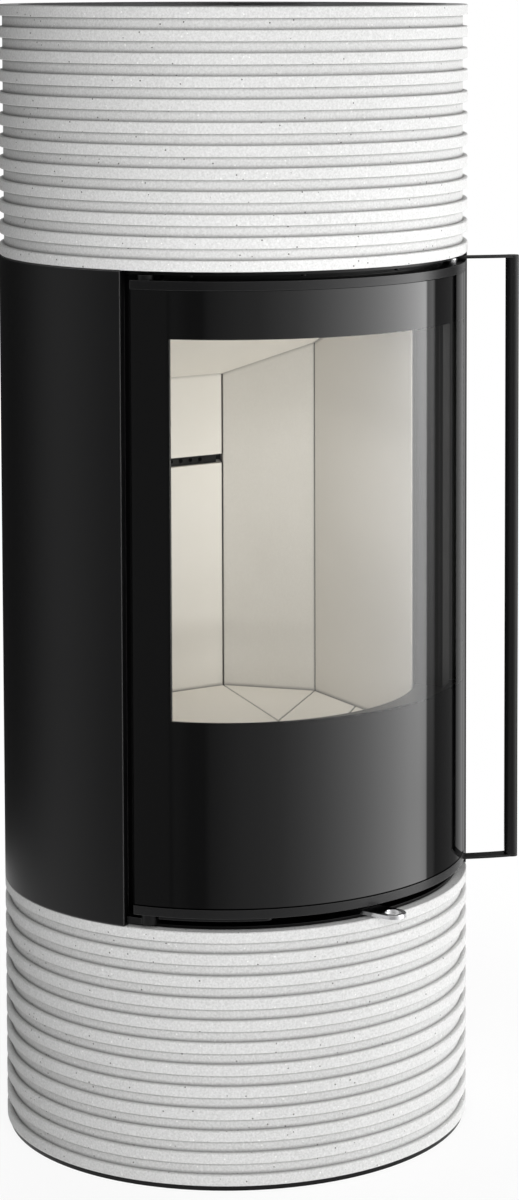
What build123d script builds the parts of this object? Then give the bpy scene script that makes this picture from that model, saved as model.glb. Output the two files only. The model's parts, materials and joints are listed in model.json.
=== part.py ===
"""Round wood stove between two ribbed concrete rings, in millimetres.

The origin is the middle of the base plate's underside. +Z is up and the door faces -Y.
Azimuths are in degrees round the stove, 0 at the front and positive towards the right.
"""

import os
from math import cos, degrees, hypot, radians, sin

from build123d import *

# Overall
stove_radius = 237.0            # outside of the rings and of the casing
base_thickness = 5.0
base_inset = 2.5                # shadow gap round the base plate
ring_height = 250.0
middle_height = 636.0           # firebox section between the rings

# Ribbed rings
rib_count = 12
groove_depth = 5.0
rib_edge = 0.8                  # broken edges of the ribs
ring_wall = 21.0
ring_fit = 0.4                  # gap between a ring and the plate inside it

# Sheet and plate thicknesses
deck_thickness = 3.0
deck_rim = 11.0                 # width of ring left bare round the deck
casing_sheet = 1.5
casing_fold = 9.0               # depth of the folded front edges
casing_top_gap = 0.5
shell_sheet = 4.0
frame_plate = 4.0
light_sheet = 2.0
support_plate = 4.0
top_sheet = 3.0

# Door, as depths behind the stove's outside and heights from the rings
door_inset = 1.6                # glass and rails behind the rings' outside
glass_thickness = 4.0
glass_tape_depth = 1.4
door_sheet = 2.0
door_rim_depth = 7.0            # depth of the rim that carries the rope gasket
rail_depth = 21.4
rail_height = 8.8
rail_corner = 1.6
door_low_gap = 12.7             # underside of the bottom rail above the lower ring
door_high_gap = 9.0             # top of the top rail below the upper ring
glass_low_gap = 1.5
glass_high_gap = 0.4
rail_half_angle = 56.4
glass_half_angle = 55.9
tape_half_angle = 55.0
tape_window_half_angle = 49.0
tape_window_gap = 8.2           # tape's inner edge outside the clear window
tape_edge = 3.5                 # tape's outer edge inside the rails
tape_play = 0.1                 # squeezed tape clear of the glass and the sheet
sheet_half_angle = 56.0
sheet_window_half_angle = 47.6
casing_half_angle = 58.5
window_low = 203.1              # clear window's lower edge above the lower ring
window_high = 64.4              # clear window's upper edge below the upper ring
window_cover = 2.0              # sheet's edge outside the clear window
rim_inner_angle = 47.0
rim_outer_angle = 50.4
rim_bar = 14.0                  # height of the rim's lower bars
gasket_depth = 7.0
gasket_width = 8.0
gasket_inner_angle = 47.8
gasket_outer_angle = 49.2
gasket_low_edge = 4.5           # gasket's lower edge above the bottom rail
gasket_cover = 4.0              # gasket's upper bar above the front opening
seal_gap = 0.3                  # between the rope gasket and the front frame

# Door hinge and latch
hinge_inset = 9.4               # hinge line behind the door's outside
hinge_angle = 53.0
hinge_pin_radius = 4.0
running_gap = 0.05              # radial gap of a pin in its bore
moving_gap = 0.3                # between faces of bodies that move past each other
bush_radius = 8.65
bracket_thickness = 6.1
bracket_angles = (53.5, 58.3, 62.0)
strap_half_width = 7.0
strap_thickness = 3.0
strap_angles = (50.0, 24.2)
latch_inset = 15.4
latch_angle = 53.0
rod_radius = 4.0
rod_collar_radius = 7.0
rod_collar = 2.0
hook_hub_radius = 7.5
hook_thickness = 6.0
hook_width = 6.5
keeper_offset = (-8.0, 16.0)    # keeper pin from the latch rod
keeper_radius = 4.0
keeper_play = 0.4
keeper_side_gap = 1.0
keeper_ear = 3.0
keeper_ear_radius = 7.0
keeper_foot_length = 20.0
nose_overlap = 3.0              # how far the nose passes the keeper's middle
hook_low = 150.0                # lower hook above the lower ring
hook_high = 116.0               # upper hook below the upper ring

# Handle
arm_thickness = 2.1
arm_width = 15.0
arm_width_at_bar = 16.4
arm_bow = 1.5                   # how far the arms bow to the front
bar_standoff = 47.2             # middle of the bar in front of the door
bar_angle = 56.2
bar_across = 13.4               # along the radius
bar_depth = 17.0
bar_corner = 5.0

# Air lever and damper
spindle_inset = 23.7            # spindle behind the front frame
spindle_radius = 6.0
spindle_nut = 3.0
lever_reach = 69.4              # from the spindle to the finger hole
lever_width = 25.0
lever_thickness = 4.0
lever_hole_radius = 8.0
lever_edge = 0.4
lever_angle = 22.0              # at rest, to the right
damper_reach = 62.0             # port's middle behind the spindle
damper_radius = 23.0
damper_hub = 9.0
damper_sheet = 2.0
air_port_radius = 19.0

# Firebox, from the stove's outside
shell_back_gap = 29.0           # between the casing and the firebox's back
chamber_back_half = 84.0        # half width of the back wall
chamber_corner_inset = 63.2
chamber_corner_angle = 119.7
chamber_front_inset = 55.8
chamber_front_angle = 51.6
lining_thickness = 25.0
lining_gap = 1.0                # joint between two bricks
brick_edge = 0.8                # broken edge of a brick
floor_height = 147.0            # top of the floor bricks above the lower ring
brick_thickness = 26.0
air_slot_drop = 97.0            # slot's lower edge below the back lining's top
air_slot = 10.0
back_wall_low = 149.0           # top of the back lining below the upper ring
baffle_slope = 25.0
baffle_throat = 164.7           # from the front frame to the baffle's front edge
baffle_thickness = 25.0
baffle_side_gap = 1.0
shell_side_end = 24.5           # where the shell's sides bend in to the jambs, behind the linings' front
sill_depth = 25.7               # sill plate behind the front frame
jamb_angle_inside = 51.4        # jamb's inner face at the sill
jamb_angle_outside = 48.3       # and at the front frame
sill_height = 192.0             # above the lower ring
opening_high = 63.0             # top of the front opening below the upper ring
frame_lift = 8.0                # front frame above the deck, room for the lever
grate_half_width = 45.0
grate_depth = 90.0
grate_inset = 84.0              # grate's front edge behind the sill
grate_seat = 4.0
grate_gap = 1.0
grate_bar = 12.0
grate_corner = 4.0
grate_slots = 6
grate_slot_pitch = 12.0
grate_slot_width = 5.0
grate_slot_length = 68.0
air_duct_depth = 14.0
air_duct_side_gap = 14.0        # duct narrower than the back wall, each side
air_duct_rise = 35.0            # duct's top above the slot
nozzle_bar_side_gap = 4.0
nozzle_recess = 7.0             # front of the nozzle bar behind the wall's face
nozzle_radius = 2.5
nozzle_pitch = 12.0
nozzle_count = 11

# Ash compartment under the grate
ash_half_width = 82.0
ash_back_gap = 20.0             # back wall behind the grate
ash_floor_height = 21.0         # above the lower ring
ash_opening_half = 75.0
ash_opening_top_gap = 8.0       # above the opening, under the firebox floor
ash_pan_height = 78.0
ash_pan_inset = 13.7            # pan's front behind the front frame
ash_pan_wall = 1.5
pan_gap = 3.0
pan_lip = 9.0
pan_lip_half = 25.0

# Flue and top
flue_bore_radius = 75.3
flue_wall = 2.5
flue_step = 3.0                 # shoulder under the socket
flue_hole_gap = 0.3
flue_flange_radius = 95.0
flue_flange = 4.0
socket_length = 60.0
top_hole_gap = 3.5
top_slots = 30
top_slot_inset = 76.0           # middle of the slots inside the ring's bore
top_slot_length = 50.0
top_slot_width = 6.0
post_count = 4
post_inset = 26.0               # posts inside the ring's bore
post_radius = 6.0
support_front_inset = 10.0      # support plate's front edge behind the rings' outside
support_front_angle = 60.0
support_slot_angles = (70.0, 125.0)
support_slot_inset = 4.0
support_slot_width = 8.0

# Plinth and combustion air
plinth_gap = 4.0                # plinth inside the lower ring
plinth_wall = 3.0
inlet_radius = 49.8
inlet_wall = 2.0
inlet_bead = 1.6                # raised bead that stops the pushed-on pipe
inlet_bead_width = 4.0
inlet_height = 145.0            # above the base plate
inlet_reach = 25.0              # how far the spigot stands out behind the ring
inlet_hole_gap = 6.0
air_box_half_width = 60.0
air_box_height = 165.0
air_box_depth = 113.0
air_box_hub_gap = 1.0           # between the front wall and the damper's hub

# Screws above the door
screw_radius = 1.5
screw_head_radius = 2.6
screw_head = 2.0
screw_depth = 8.0               # into the upper ring
screw_inset = 15.0
screw_angles = (-42.0, -14.0, 14.0, 42.0)

# Levels
ring_low = base_thickness
ring_low_top = ring_low + ring_height
deck_top = ring_low_top + deck_thickness
ring_high = ring_low_top + middle_height
stove_top = ring_high + ring_height
support_low = ring_high - support_plate
shell_top = support_low - shell_sheet
rail_low = ring_low_top + door_low_gap
rail_low_top = rail_low + rail_height
rail_high_top = ring_high - door_high_gap
rail_high = rail_high_top - rail_height
window_bottom = ring_low_top + window_low
window_top = ring_high - window_high
lever_low = deck_top + moving_gap
damper_top = ring_low_top - moving_gap
damper_low = damper_top - damper_sheet
firebox_floor_level = ring_low_top + floor_height
bricks_low = firebox_floor_level - brick_thickness
floor_low = bricks_low - shell_sheet
sill_top = ring_low_top + sill_height
opening_top = ring_high - opening_high
back_wall_top = ring_high - back_wall_low
slot_low = back_wall_top - air_slot_drop
slot_high = slot_low + air_slot
ash_floor_level = ring_low_top + ash_floor_height
ash_opening_top = floor_low - ash_opening_top_gap + shell_sheet
hook_heights = (ring_low_top + hook_low, ring_high - hook_high)
inlet_level = ring_low + inlet_height
air_box_low = ring_low_top - air_box_height

# Radii
ring_bore = stove_radius - ring_wall
plinth_radius = ring_bore - plinth_gap
casing_inner = stove_radius - casing_sheet
door_radius = stove_radius - door_inset
glass_inner = door_radius - glass_thickness
door_sheet_outer = glass_inner - glass_tape_depth
door_sheet_inner = door_sheet_outer - door_sheet
rim_inner = door_sheet_inner - door_rim_depth
rail_inner = door_radius - rail_depth
frame_face = rim_inner - gasket_depth - seal_gap
frame_back = frame_face - frame_plate
sill_radius = frame_back - sill_depth
sill_outer = sill_radius + shell_sheet
hinge_radius = door_radius - hinge_inset
latch_radius = door_radius - latch_inset
bar_radius = door_radius + bar_standoff
lever_pivot = frame_back - spindle_inset
air_box_front = -(lever_pivot + damper_hub + air_box_hub_gap + light_sheet)
air_box_back = air_box_front + air_box_depth
flue_outer = flue_bore_radius + flue_wall


# Depths inside the firebox
chamber_back = stove_radius - shell_back_gap - shell_sheet - air_duct_depth - lining_thickness
baffle_front = baffle_throat - frame_back
grate_front = grate_inset - sill_radius
grate_back = grate_front + grate_depth
ash_back = grate_back + ash_back_gap
ash_pan_front = ash_pan_inset - frame_back
air_duct_half_width = chamber_back_half - air_duct_side_gap
nozzle_bar_half_width = chamber_back_half - nozzle_bar_side_gap
top_slot_radius = ring_bore - top_slot_inset


def at(radius, azimuth):
    """Point at a radius and an azimuth."""
    return (radius * sin(radians(azimuth)), -radius * cos(radians(azimuth)))


def band(inner, outer, start, end):
    """Curved strip between two radii and two azimuths."""
    middle = (start + end) / 2
    with BuildSketch(mode=Mode.PRIVATE) as profile:
        with BuildLine():
            ThreePointArc(at(outer, start), at(outer, middle), at(outer, end))
            Line(at(outer, end), at(inner, end))
            ThreePointArc(at(inner, end), at(inner, middle), at(inner, start))
            Line(at(inner, start), at(outer, start))
        make_face()
    return profile.sketch


def polygon(*points):
    """Closed flat shape through the points."""
    with BuildSketch(mode=Mode.PRIVATE) as profile:
        with BuildLine():
            Polyline(*points, close=True)
        make_face()
    return profile.sketch


def mirrored(points):
    """The same points on the other side of the stove, in the same turning sense."""
    return [(-x, y) for x, y in reversed(points)]


def save(piece, name):
    """Label a finished piece and write it."""
    piece.part.label = name
    export_step(piece.part, f"parts/{name}.step")


os.makedirs("parts", exist_ok=True)

# ---------------------------------------------------------------- base and rings

with BuildPart() as base_plate:
    Cylinder(stove_radius - base_inset, base_thickness, align=(Align.CENTER, Align.CENTER, Align.MIN))
save(base_plate, "base_plate")

with BuildPart() as plinth_column:
    with BuildSketch(Plane.XY.offset(ring_low)):
        Circle(plinth_radius)
        Circle(plinth_radius - plinth_wall, mode=Mode.SUBTRACT)
    extrude(amount=ring_height)
    with BuildSketch(Plane.XZ):
        with Locations((0, inlet_level)):
            Circle(inlet_radius + ring_fit)
    extrude(amount=-stove_radius, mode=Mode.SUBTRACT)
save(plinth_column, "plinth_column")


def ribbed_ring(low):
    """Cast ring with ribs and grooves of equal height."""
    step = ring_height / (2 * rib_count - 1)
    groove_places = [(stove_radius, low + (2 * groove + 1) * step) for groove in range(rib_count - 1)]
    with BuildPart(mode=Mode.PRIVATE) as ring:
        with BuildSketch(Plane.XZ) as profile:
            with Locations((ring_bore, low)):
                Rectangle(ring_wall, ring_height, align=(Align.MIN, Align.MIN))
            with Locations(*groove_places):
                Rectangle(groove_depth, step, align=(Align.MAX, Align.MIN), mode=Mode.SUBTRACT)
            rib_corners = profile.vertices().filter_by(lambda corner: corner.X > stove_radius - rib_edge)
            chamfer(rib_corners, rib_edge)
        revolve(axis=Axis.Z)
    return ring.part


screw_places = [at(stove_radius - screw_inset, angle) for angle in screw_angles]

with BuildPart() as lower_ring:
    add(ribbed_ring(ring_low))
    with BuildSketch(Plane.XZ):
        with Locations((0, inlet_level)):
            Circle(inlet_radius + inlet_hole_gap)
    extrude(amount=-stove_radius, mode=Mode.SUBTRACT)
save(lower_ring, "lower_ring")

with BuildPart() as upper_ring:
    add(ribbed_ring(ring_high))
    with BuildSketch(Plane.XY.offset(ring_high)):
        with Locations(*screw_places):
            Circle(screw_radius)
    extrude(amount=screw_depth, mode=Mode.SUBTRACT)
save(upper_ring, "upper_ring")

# ---------------------------------------------------------------- combustion air

air_port = (damper_reach * sin(radians(lever_angle)), -lever_pivot + damper_reach * cos(radians(lever_angle)))
duct_front = chamber_back + lining_thickness
duct_middle = duct_front + air_duct_depth / 2

with BuildPart() as deck_plate:
    with BuildSketch(Plane.XY.offset(ring_low_top)):
        Circle(stove_radius - deck_rim)
        with Locations((0, -lever_pivot)):
            Circle(spindle_radius + running_gap, mode=Mode.SUBTRACT)
        with Locations(air_port):
            Circle(air_port_radius, mode=Mode.SUBTRACT)
        with Locations((0, duct_middle)):
            Rectangle(2 * (air_duct_half_width - light_sheet), air_duct_depth - 2 * light_sheet,
                      mode=Mode.SUBTRACT)
    extrude(amount=deck_thickness)
save(deck_plate, "deck_plate")

with BuildPart() as air_box:
    with BuildSketch(Plane.XY.offset(air_box_low)):
        with Locations((0, (air_box_front + air_box_back) / 2)):
            Rectangle(2 * air_box_half_width, air_box_back - air_box_front)
    extrude(amount=air_box_height)
    with BuildSketch(Plane.XY.offset(air_box_low + light_sheet)):
        with Locations((0, (air_box_front + air_box_back) / 2)):
            Rectangle(2 * (air_box_half_width - light_sheet), air_box_back - air_box_front - 2 * light_sheet)
    extrude(amount=air_box_height, mode=Mode.SUBTRACT)
    with BuildSketch(Plane.XZ.offset(-air_box_back + light_sheet)):
        with Locations((0, inlet_level)):
            Circle(inlet_radius - inlet_wall)
    extrude(amount=-light_sheet, mode=Mode.SUBTRACT)
save(air_box, "air_box")

with BuildPart() as air_inlet_spigot:
    with BuildSketch(Plane.XZ.offset(-air_box_back)):
        with Locations((0, inlet_level)):
            Circle(inlet_radius)
    extrude(amount=-(stove_radius + inlet_reach - air_box_back))
    with BuildSketch(Plane.XZ.offset(inlet_bead_width - stove_radius)):
        with Locations((0, inlet_level)):
            Circle(inlet_radius + inlet_bead)
    extrude(amount=-inlet_bead_width)
    with BuildSketch(Plane.XZ.offset(-air_box_back)):
        with Locations((0, inlet_level)):
            Circle(inlet_radius - inlet_wall)
    extrude(amount=-(stove_radius + inlet_reach - air_box_back), mode=Mode.SUBTRACT)
save(air_inlet_spigot, "air_inlet_spigot")

# The lever, its spindle and the damper turn together about the spindle.
spindle_plane = Plane(origin=(0, -lever_pivot, 0), x_dir=(1, 0, 0)).rotated((0, 0, lever_angle))

with BuildPart() as air_lever:
    with BuildSketch(spindle_plane.offset(lever_low)):
        with Locations((0, -lever_reach / 2)):
            SlotCenterToCenter(lever_reach, lever_width, rotation=90)
        with Locations((0, -lever_reach)):
            Circle(lever_hole_radius, mode=Mode.SUBTRACT)
        Circle(spindle_radius, mode=Mode.SUBTRACT)
    extrude(amount=lever_thickness)
    upper_edges = air_lever.edges().group_by(Axis.Z)[-1]
    chamfer(upper_edges.filter_by(lambda edge: edge.length > lever_width), lever_edge)
save(air_lever, "air_lever")

with BuildPart() as air_damper:
    with BuildSketch(spindle_plane.offset(damper_low)):
        with Locations((0, damper_reach)):
            Circle(damper_radius)
        with Locations((0, damper_reach / 2)):
            Rectangle(2 * damper_hub, damper_reach)
        Circle(damper_hub)
        Circle(spindle_radius, mode=Mode.SUBTRACT)
    extrude(amount=damper_sheet)
save(air_damper, "air_damper")

with BuildPart() as air_spindle:
    with BuildSketch(spindle_plane.offset(damper_low - spindle_nut)):
        Circle(damper_hub)
    extrude(amount=spindle_nut)
    with BuildSketch(spindle_plane.offset(damper_low)):
        Circle(spindle_radius)
    extrude(amount=lever_low + lever_thickness - damper_low)
    with BuildSketch(spindle_plane.offset(lever_low + lever_thickness)):
        RegularPolygon(damper_hub, 6)
    extrude(amount=spindle_nut)
save(air_spindle, "air_spindle")

# ---------------------------------------------------------------- firebox shell


def pushed(points, distances):
    """Open outline whose sides are each moved outwards, to the right of the way they run."""
    lines = []
    for (start, end), distance in zip(zip(points, points[1:]), distances):
        length = hypot(end[0] - start[0], end[1] - start[1])
        along = ((end[0] - start[0]) / length, (end[1] - start[1]) / length)
        shift = (along[1] * distance, -along[0] * distance)
        lines.append(((start[0] + shift[0], start[1] + shift[1]), along))
    corners = [lines[0][0]]
    for (first, along), (second, across) in zip(lines, lines[1:]):
        turn = along[0] * across[1] - along[1] * across[0]
        travel = ((second[0] - first[0]) * across[1] - (second[1] - first[1]) * across[0]) / turn
        corners.append((first[0] + along[0] * travel, first[1] + along[1] * travel))
    return corners + mirrored(corners[:1])


def cut_short(points, front):
    """The outline with its two ends cut back to a depth at the stove's front."""
    (x0, y0), (x1, y1) = points[0], points[1]
    end = (x0 + (x1 - x0) * (front - y0) / (y1 - y0), front)
    return [end] + points[1:-1] + mirrored([end])


chamber = [at(stove_radius - chamber_front_inset, chamber_front_angle),
           at(stove_radius - chamber_corner_inset, chamber_corner_angle), (chamber_back_half, chamber_back)]
shell_corner = chamber[0][1] + shell_side_end
chamber = chamber + mirrored(chamber)
sides = [lining_thickness] * 2
behind = [lining_thickness + air_duct_depth]
shell_sides = [lining_thickness + shell_sheet] * 2
shell_behind = [lining_thickness + air_duct_depth + shell_sheet]
lining_outside = cut_short(pushed(chamber, sides + [lining_thickness] + sides), shell_corner)
shell_inside = cut_short(pushed(chamber, sides + behind + sides), shell_corner)
shell_outside = cut_short(pushed(chamber, shell_sides + shell_behind + shell_sides), shell_corner)

jamb_back_inside = at(sill_radius, jamb_angle_inside)
jamb_back_outside = at(sill_radius, jamb_angle_inside + degrees(shell_sheet / sill_radius))
jamb_front_inside = at(frame_face, jamb_angle_outside)
jamb_front_angle = jamb_angle_outside + degrees(shell_sheet / frame_face)
jamb_front_outside = at(frame_face, jamb_front_angle)
jamb_depth = hypot(jamb_front_inside[0] - jamb_back_inside[0], jamb_front_inside[1] - jamb_back_inside[1])
past_jamb = (jamb_back_inside[0] + (jamb_front_inside[0] - jamb_back_inside[0]) * stove_radius / jamb_depth,
             jamb_back_inside[1] + (jamb_front_inside[1] - jamb_back_inside[1]) * stove_radius / jamb_depth)
jamb = [jamb_back_inside, jamb_front_inside, jamb_front_outside, jamb_back_outside]


def open_to_front(outline):
    """Outline of a space that runs out between the jambs."""
    return polygon(past_jamb, jamb_back_inside, *outline, *mirrored([past_jamb, jamb_back_inside]))


with BuildPart() as firebox_shell:
    with BuildSketch(Plane.XY.offset(deck_top)):
        add(polygon(jamb_back_outside, *shell_outside, *mirrored([jamb_back_outside])))
        add(open_to_front(shell_inside), mode=Mode.SUBTRACT)
    extrude(amount=shell_top - deck_top)
save(firebox_shell, "firebox_shell")

grate_width = 2 * grate_half_width
grate_middle = (grate_back + grate_front) / 2

with BuildPart() as firebox_floor:
    with BuildSketch(Plane.XY.offset(floor_low)):
        Circle(sill_outer)
        add(open_to_front(lining_outside), mode=Mode.INTERSECT)
        add(polygon(*jamb), mode=Mode.SUBTRACT)
        add(polygon(*mirrored(jamb)), mode=Mode.SUBTRACT)
        with Locations((0, grate_middle)):
            Rectangle(grate_width - 2 * (grate_seat + grate_gap), grate_depth - 2 * (grate_seat + grate_gap),
                      mode=Mode.SUBTRACT)
    extrude(amount=shell_sheet)
save(firebox_floor, "firebox_floor")

with BuildPart() as firebox_top:
    with BuildSketch(Plane.XY.offset(shell_top)):
        add(band(frame_face / 2, frame_face, -jamb_front_angle, jamb_front_angle))
        add(polygon(jamb_front_outside, jamb_back_outside, *shell_outside,
                    *mirrored([jamb_front_outside, jamb_back_outside])))
        Circle(flue_bore_radius - flue_step, mode=Mode.SUBTRACT)
    extrude(amount=shell_sheet)
save(firebox_top, "firebox_top")

with BuildPart() as front_frame:
    with BuildSketch(Plane.XY.offset(deck_top + frame_lift)):
        add(band(frame_back, frame_face, -jamb_front_angle, jamb_front_angle))
    extrude(amount=shell_top - deck_top - frame_lift)
    with BuildSketch(Plane.XY.offset(sill_top)):
        add(band(frame_back - frame_plate, frame_face + frame_plate, -jamb_angle_outside, jamb_angle_outside))
    extrude(amount=opening_top - sill_top, mode=Mode.SUBTRACT)
    with BuildSketch(Plane.XZ):
        with Locations((0, ash_floor_level)):
            Rectangle(2 * ash_opening_half, ash_opening_top - ash_floor_level,
                      align=(Align.CENTER, Align.MIN))
    extrude(amount=stove_radius, mode=Mode.SUBTRACT)
    with BuildSketch(Plane.XY.offset(deck_top)):
        add(polygon(*jamb))
        add(polygon(*mirrored(jamb)))
    extrude(amount=shell_top - deck_top)
save(front_frame, "front_frame")

with BuildPart() as sill_plate:
    with BuildSketch(Plane.XY.offset(bricks_low)):
        Circle(sill_outer)
        Circle(sill_radius, mode=Mode.SUBTRACT)
        add(open_to_front([]), mode=Mode.INTERSECT)
    extrude(amount=sill_top - bricks_low)
    with BuildSketch(Plane.XY.offset(sill_top - shell_sheet)):
        Circle(frame_back)
        Circle(sill_radius, mode=Mode.SUBTRACT)
        add(open_to_front([]), mode=Mode.INTERSECT)
    extrude(amount=shell_sheet)
save(sill_plate, "sill_plate")

# ---------------------------------------------------------------- ash compartment and grate

with BuildPart() as ash_box:
    with BuildSketch(Plane.XY.offset(ash_floor_level - light_sheet)):
        Circle(frame_back)
        with Locations((0, ash_back)):
            Rectangle(2 * ash_half_width, stove_radius + ash_back, align=(Align.CENTER, Align.MAX),
                      mode=Mode.INTERSECT)
    extrude(amount=floor_low - ash_floor_level + light_sheet)
    with BuildSketch(Plane.XY.offset(ash_floor_level)):
        with Locations((0, ash_back - light_sheet)):
            Rectangle(2 * (ash_half_width - light_sheet), stove_radius + ash_back,
                      align=(Align.CENTER, Align.MAX))
    extrude(amount=floor_low, mode=Mode.SUBTRACT)
save(ash_box, "ash_box")

pan_width = 2 * (ash_opening_half - pan_gap)
pan_back = ash_back - light_sheet - pan_gap
pan_middle = (pan_back + ash_pan_front) / 2
with BuildPart() as ash_pan:
    with BuildSketch(Plane.XY.offset(ash_floor_level)):
        with Locations((0, pan_middle)):
            Rectangle(pan_width, pan_back - ash_pan_front)
    extrude(amount=ash_pan_height)
    with BuildSketch(Plane.XY.offset(ash_floor_level + ash_pan_wall)):
        with Locations((0, pan_middle)):
            Rectangle(pan_width - 2 * ash_pan_wall, pan_back - ash_pan_front - 2 * ash_pan_wall)
    extrude(amount=ash_pan_height, mode=Mode.SUBTRACT)
    with BuildSketch(Plane.XY.offset(ash_floor_level + ash_pan_height - ash_pan_wall)):
        with Locations((0, ash_pan_front)):
            Rectangle(2 * pan_lip_half, pan_lip, align=(Align.CENTER, Align.MAX))
    extrude(amount=ash_pan_wall)
save(ash_pan, "ash_pan")

with BuildPart() as grate:
    with BuildSketch(Plane.XY.offset(bricks_low)):
        with Locations((0, grate_middle)):
            RectangleRounded(grate_width - 2 * grate_gap, grate_depth - 2 * grate_gap, grate_corner)
    extrude(amount=brick_thickness)
    chamfer(grate.edges().group_by(Axis.Z)[-1], brick_edge)
    with BuildSketch(Plane.XY.offset(bricks_low)):
        with Locations((0, grate_middle)):
            Rectangle(grate_width - 2 * (grate_gap + grate_seat), grate_depth - 2 * (grate_gap + grate_seat))
    extrude(amount=brick_thickness - grate_bar, mode=Mode.SUBTRACT)
    with BuildSketch(Plane.XY.offset(bricks_low)):
        with Locations((0, grate_middle)):
            with GridLocations(grate_slot_pitch, 1, grate_slots, 1):
                SlotOverall(grate_slot_length, grate_slot_width, rotation=90)
    extrude(amount=brick_thickness, mode=Mode.SUBTRACT)
save(grate, "grate")

# ---------------------------------------------------------------- firebricks

front_reach = -stove_radius
(front_x, front_y), (side_x, side_y), (back_x, back_y) = chamber[:3]
grate_corner_back = (grate_half_width, grate_back)
grate_corner_front = (grate_half_width, grate_front)
side_meeting = (side_x - (side_x - front_x) * side_y / (side_y - front_y), 0)

floor_outlines = {
    "floor_brick_back": [(back_x, back_y), *mirrored([(back_x, back_y)]),
                         *mirrored([grate_corner_back]), grate_corner_back],
    "floor_brick_diagonal": [(side_x, side_y), (back_x, back_y), grate_corner_back],
    "floor_brick_side": [side_meeting, (side_x, side_y), grate_corner_back, grate_corner_front],
    "floor_brick_corner": [side_meeting, grate_corner_front, (grate_half_width, front_reach),
                           (stove_radius, front_reach), (stove_radius, 0)],
    "floor_brick_front": [grate_corner_front, *mirrored([grate_corner_front]),
                          (-grate_half_width, front_reach), (grate_half_width, front_reach)],
}


def floor_brick(outline):
    """Brick of the firebox floor, kept inside the linings and behind the sill."""
    with BuildPart(mode=Mode.PRIVATE) as brick:
        with BuildSketch(Plane.XY.offset(bricks_low)):
            Circle(sill_radius - lining_gap / 2)
            add(open_to_front(chamber), mode=Mode.INTERSECT)
            add(polygon(*outline), mode=Mode.INTERSECT)
            offset(amount=-lining_gap / 2, kind=Kind.INTERSECTION)
        extrude(amount=brick_thickness)
        chamfer(brick.edges().group_by(Axis.Z)[-1], brick_edge)
    return brick.part


for brick_name, brick_outline in floor_outlines.items():
    in_pairs = brick_name not in ("floor_brick_back", "floor_brick_front")
    with BuildPart() as right_brick:
        add(floor_brick(brick_outline))
    save(right_brick, brick_name + "_right" if in_pairs else brick_name)
    if in_pairs:
        with BuildPart() as left_brick:
            add(floor_brick(mirrored(brick_outline)))
        save(left_brick, brick_name + "_left")

# The linings stand on the floor plate. The slanted baffle lies on their tops.
slope = radians(baffle_slope)
baffle_underside = Plane(origin=(0, chamber_back, back_wall_top), x_dir=(1, 0, 0),
                         z_dir=(0, sin(slope), cos(slope)))
lining_top = back_wall_top + (chamber_back - baffle_front) * sin(slope) / cos(slope)


def lining(outline, low, high):
    """Upright brick whose top follows the underside of the baffle."""
    with BuildPart(mode=Mode.PRIVATE) as brick:
        with BuildSketch(Plane.XY.offset(low)):
            add(polygon(*outline))
            offset(amount=-lining_gap / 2, kind=Kind.INTERSECTION)
        extrude(amount=high - low)
        chamfer(brick.edges().filter_by(Axis.Z), brick_edge)
        split(bisect_by=baffle_underside, keep=Keep.BOTTOM)
    return brick.part


side_outline = [chamber[0], chamber[1], lining_outside[1], lining_outside[0]]
diagonal_outline = [chamber[1], chamber[2], lining_outside[2], lining_outside[1]]
back_outline = [chamber[2], chamber[3], lining_outside[3], lining_outside[2]]
linings = {
    "side_lining_right": (side_outline, bricks_low, lining_top),
    "side_lining_left": (mirrored(side_outline), bricks_low, lining_top),
    "diagonal_lining_right": (diagonal_outline, bricks_low, lining_top),
    "diagonal_lining_left": (mirrored(diagonal_outline), bricks_low, lining_top),
    "back_lining_lower": (back_outline, bricks_low, slot_low),
    "back_lining_upper": (back_outline, slot_high, lining_top),
}
for brick_name, (brick_outline, brick_low, brick_high) in linings.items():
    with BuildPart() as upright_brick:
        add(lining(brick_outline, brick_low, brick_high))
    save(upright_brick, brick_name)

with BuildPart() as air_nozzle_bar:
    with BuildSketch(Plane.XY.offset(slot_low)):
        with Locations((0, chamber_back + nozzle_recess)):
            Rectangle(2 * nozzle_bar_half_width, lining_thickness - nozzle_recess,
                      align=(Align.CENTER, Align.MIN))
    extrude(amount=air_slot)
    with BuildSketch(Plane.XZ.offset(-chamber_back)):
        with Locations((0, slot_low + air_slot / 2)):
            with GridLocations(nozzle_pitch, 1, nozzle_count, 1):
                Circle(nozzle_radius)
    extrude(amount=-lining_thickness, mode=Mode.SUBTRACT)
save(air_nozzle_bar, "air_nozzle_bar")

duct_top = slot_high + air_duct_rise
with BuildPart() as secondary_air_duct:
    with BuildSketch(Plane.XY.offset(deck_top)):
        with Locations((0, duct_middle)):
            Rectangle(2 * air_duct_half_width, air_duct_depth)
    extrude(amount=duct_top - deck_top)
    with BuildSketch(Plane.XY.offset(deck_top)):
        with Locations((0, duct_middle)):
            Rectangle(2 * (air_duct_half_width - light_sheet), air_duct_depth - 2 * light_sheet)
    extrude(amount=duct_top - deck_top - light_sheet, mode=Mode.SUBTRACT)
    with BuildSketch(Plane.XZ.offset(-duct_front)):
        with Locations((0, slot_low)):
            Rectangle(2 * (air_duct_half_width - light_sheet), air_slot, align=(Align.CENTER, Align.MIN))
    extrude(amount=-air_duct_depth / 2, mode=Mode.SUBTRACT)
save(secondary_air_duct, "secondary_air_duct")

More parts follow.
